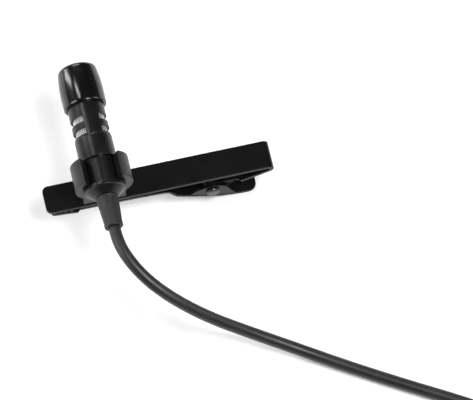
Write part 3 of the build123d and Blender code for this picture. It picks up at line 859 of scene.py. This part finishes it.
# one pressed strip from the toothed tip to the thumb tab, with a cheek at each side of the pin
def makeJawLever(size):
    pinX, pinZ = stripSizes["pinX"], stripSizes["pinZ"]
    half, width, start, end = size["thickness"] / 2, size["halfWidth"], size["armStart"], size["armEnd"]
    tip, tipLevel = size["tip"], size["toothTop"] - size["toothHeight"]
    heel = (pinX + size["heelReach"], pinZ - size["heelDrop"] - half)
    knee = (pinX - size["kneeReach"], heel[1] + size["kneeRise"])
    corners = [
        (tip, tipLevel, 0), (start - 0.5, 8.0, 0.2), (start, 7.8, 0), *size["armLine"], (end, 5.53, 0),
        (pinX - 5.9, heel[1] + 3.45, 0.5), (*knee, 0.9), (*heel, 1.5), (pinX + 5.8, half, 1.0),
        (size["tab"], half, 0),
    ]

    def halfWidth(x):
        return size["armHalf"] if start + 0.05 < x < end - 0.05 else width

    bm = bentStrip(corners, halfWidth, size["thickness"],
                   {size["tab"]: size["tabCorner"], tip: size["tipRound"]})
    cheek = size["flangeRadius"]
    for low in (-width, width - size["flange"]):
        addPlate(bm, [
            (pinX - 5.0, 4.1, 0.5), (pinX - cheek, pinZ + cheek, cheek * 0.9),
            (pinX + cheek, pinZ + cheek, cheek * 0.9), (pinX + 4.6, 0.75, 0.6), (*heel, 1.0), (*knee, 0.6),
        ], low, low + size["flange"])
    root = tipLevel - 0.3
    for tooth in range(size["teeth"]):
        left = tip + 0.15 + tooth * size["toothPitch"]
        addPlate(bm, [
            (left, root, 0), (left + 0.2, size["toothTop"], 0.06), (left + 0.45, size["toothTop"], 0.06),
            (left + size["toothPitch"] - 0.15, root, 0),
        ], 0.1 - width, width - 0.1)
    bm.transform(Matrix.Translation(clipMiddle))
    return softenEdges(finishPiece("jawLever", bm, "jaw_lever", "jaw"), size["edge"], 2, 40.0)


makeJawLever(leverSizes)
print("holder and clip made")

# diameter and spacing in metres, angles in degrees; climbShare is how much of a turn a layer change takes
cordSettings = {"diameter": 2.4 * mm, "spacing": 2.45 * mm, "turnsAcross": 3, "layers": 4,
                "pointsPerTurn": 24, "startAngle": -120.6, "endAngle": 0.0, "climbShare": 0.3,
                "wobble": 0.008}
leadPoints = [
    (-10.95, -17.0, 17.3), (-10.95, -19.9, 17.3), (-9.8, -23.7, 16.9), (-7.3, -28.0, 15.7),
    (-3.1, -32.1, 13.4), (3.2, -35.9, 9.3), (10.9, -39.2, 4.9), (19.0, -43.2, 1.9), (27.7, -48.7, 1.25),
    (37.9, -55.0, 1.25), (48.0, -60.9, 1.25), (56.4, -66.6, 1.4),
]
tailPoints = [
    (91.2, -50.4, 8.6), (90.6, -44.2, 6.3), (89.1, -38.2, 3.9), (87.0, -32.4, 3.5), (87.0, -27.0, 3.5),
]


# turns lie side by side in flat layers, wound inwards on one layer and outwards on the next
def coilRoute(cord):
    low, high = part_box("cord_coil")
    middle = (low + high) / 2
    outer = (high.x - low.x) / 2 - cord["diameter"] / 2
    spread, lastLayer = cord["turnsAcross"], cord["layers"] - 1
    turns = spread * cord["layers"] + (cord["endAngle"] - cord["startAngle"]) / 360
    steps = round(turns * cord["pointsPerTurn"])
    bulge = 1 / math.cos(math.pi / cord["pointsPerTurn"])
    route = []
    for step in range(steps + 1):
        turn = turns * step / steps
        layer = min(int(turn / spread), lastLayer)
        inside = turn - layer * spread
        travel = inside if layer % 2 == 0 else spread - inside
        climb = max(0.0, (inside - spread) / cord["climbShare"] + 1) if layer < lastLayer else 0.0
        angle = math.radians(cord["startAngle"]) + 2 * math.pi * turn
        radius = (outer - travel * cord["spacing"]) * bulge
        radius *= 1 + cord["wobble"] * math.cos(2 * angle + 0.6)        # wound by hand, so not quite round
        route.append((middle.x + radius * math.cos(angle), middle.y + radius * math.sin(angle),
                      low.z + cord["diameter"] / 2 + cord["spacing"] * (layer + climb)))
    return route


def makeCord(cord):
    curve = newCurve("cordCurve", cord["diameter"], 5)
    route = [Vector(spot) * mm for spot in leadPoints] + [Vector(spot) for spot in coilRoute(cord)]
    route += [Vector(spot) * mm for spot in tailPoints]
    addSpline(curve, route, 4)
    piece = bpy.data.objects.new("lead", curve)
    scene.collection.objects.link(piece)
    return settlePiece(piece, "cord_lead", "microphone", ("cord_coil", "cord_tail"))


lead = makeCord(cordSettings)
print("lead laid")

tieSizes = {"thickness": 0.5, "degrees": 29.06, "start": 100.0, "corner": 1.5, "edge": 0.12}


# a strap round the coil's section
def makeTie(size):
    low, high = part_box("cord_coil")
    middle = (low + high) / 2
    across = (cordSettings["turnsAcross"] * cordSettings["spacing"] + cordSettings["diameter"]) / mm
    outer = (high.x - low.x) / 2 / mm + size["thickness"] / 2
    inner = outer - across - size["thickness"]
    base, top, corner = size["thickness"] / 2, high.z / mm + size["thickness"] / 2, size["corner"]
    bm = bmesh.new()
    drawOutline(bm, [
        (inner, base, corner), (outer, base, corner), (outer, top, corner), (inner, top, corner),
    ], closed=True)
    spinOutline(bm, 12, math.radians(size["degrees"]))
    bm = thicken(bm, size["thickness"])
    turned = Matrix.Rotation(math.radians(size["start"]), 4, "Z")
    bm.transform(Matrix.Translation((middle.x, middle.y, 0)) @ turned)
    return softenEdges(finishPiece("cordTie", bm, "cord_tie", "microphone"), size["edge"], 2, 50.0)


makeTie(tieSizes)

plugSizes = {"pin": 1.75, "insulator": 1.72, "collar": 2.9, "tipNeck": 1.15, "tipNose": 0.5,
             "grip": 3.5, "gripEnd": 3.1, "ribs": 7, "ribStart": 5.2, "ribPitch": 1.3, "ribDepth": 0.28,
             "bootStart": 1.7, "bootEnd": 2.5, "bootRings": 5, "ringStart": 1.2, "ringDepth": 0.45}
plugAxis = boxMiddle("plug_grip")
plugFoot = Vector((plugAxis.x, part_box("plug_boot")[0].y, plugAxis.z))


def bootOutline(size):
    low, high = along("plug_boot", plugFoot)
    start, end = size["bootStart"], size["bootEnd"]
    pitch = (high - low - 1.6) / size["bootRings"]
    outline = [(0, low, 0), (start, low, 0.2)]
    for ring in range(size["bootRings"]):
        level = low + size["ringStart"] + ring * pitch
        radius = start + (end - start) * (level - low) / (high - low)
        groove = radius - size["ringDepth"]
        outline += [(radius, level, 0.1), (groove, level + 0.12, 0.1), (groove + 0.03, level + 0.75, 0.1),
                    (radius + 0.07, level + 0.87, 0.1)]
    return outline + [(end, high, 0), (0, high, 0)]


def gripOutline(size):
    low, high = along("plug_grip", plugFoot)
    radius, groove = size["grip"], size["grip"] - size["ribDepth"]
    outline = [(0, low, 0), (size["gripEnd"], low, 0.5), (radius, low + 1.6, 0.6)]
    for rib in range(size["ribs"]):
        level = low + size["ribStart"] + rib * size["ribPitch"]
        outline += [(radius, level, 0.1), (groove, level + 0.15, 0.08), (groove, level + 0.5, 0.08),
                    (radius, level + 0.65, 0.1)]
    return outline + [(radius, high, 0.6), (0, high, 0)]


def tipOutline(size):
    low, high = along("plug_tip", plugFoot)
    return [(0, low, 0), (size["pin"] - 0.1, low, 0.1), (size["tipNeck"], low + 0.85, 0.25),
            (size["pin"] - 0.08, low + 1.75, 0.4), (size["tipNose"], high, 0.4), (0, high, 0)]


def plainOutline(node, radius, lowRound, highRound):
    low, high = along(node, plugFoot)
    return [(0, low, 0), (radius, low, lowRound), (radius, high, highRound), (0, high, 0)]


# every piece of the plug is turned on the plug's own axis; gives the pieces' names
def makePlug(size):
    outlines = {
        "plugBoot": ("plug_boot", bootOutline(size)),
        "plugGrip": ("plug_grip", gripOutline(size)),
        "plugCollar": ("plug_collar", plainOutline("plug_collar", size["collar"], 0.1, 0.3)),
        "plugSleeve": ("plug_sleeve", plainOutline("plug_sleeve", size["pin"], 0.08, 0.08)),
        "plugRing": ("plug_ring", plainOutline("plug_ring", size["pin"], 0.08, 0.08)),
        "insulatorRear": ("insulator_rear", plainOutline("insulator_rear", size["insulator"], 0, 0)),
        "insulatorFront": ("insulator_front", plainOutline("insulator_front", size["insulator"], 0, 0)),
        "plugTip": ("plug_tip", tipOutline(size)),
    }
    for name, (node, outline) in outlines.items():
        turnedPiece(name, outline, plugFoot, node, "microphone", steps=72)
    return list(outlines)


plugPieces = makePlug(plugSizes)
print("tie and plug made")

# halfSize in metres; glow lifts the paper so that it stays pale in a dim room
floorSettings = {"halfSize": 3.0, "glow": 0.16, "rough": 0.7, "low": (0.93, 0.93, 0.93, 1),
                 "high": (0.95, 0.95, 0.95, 1), "cloudScale": 40}


def makeFloor(paper):
    bm = bmesh.new()
    bmesh.ops.create_grid(bm, x_segments=2, y_segments=2, size=paper["halfSize"])
    mesh = bpy.data.meshes.new("floor")
    bm.to_mesh(mesh)
    bm.free()
    floor = bpy.data.objects.new("floor", mesh)
    scene.collection.objects.link(floor)
    finish = Finish("floorPaper", Roughness=paper["rough"], Emission_Color=(1, 1, 1, 1),
                    Emission_Strength=paper["glow"])
    cloud = finish.noise(paper["cloudScale"], 2)
    finish.feed(Base_Color=finish.mix(cloud, paper["low"], paper["high"]))
    mesh.materials.append(finish.material)


makeFloor(floorSettings)
print("floor laid")
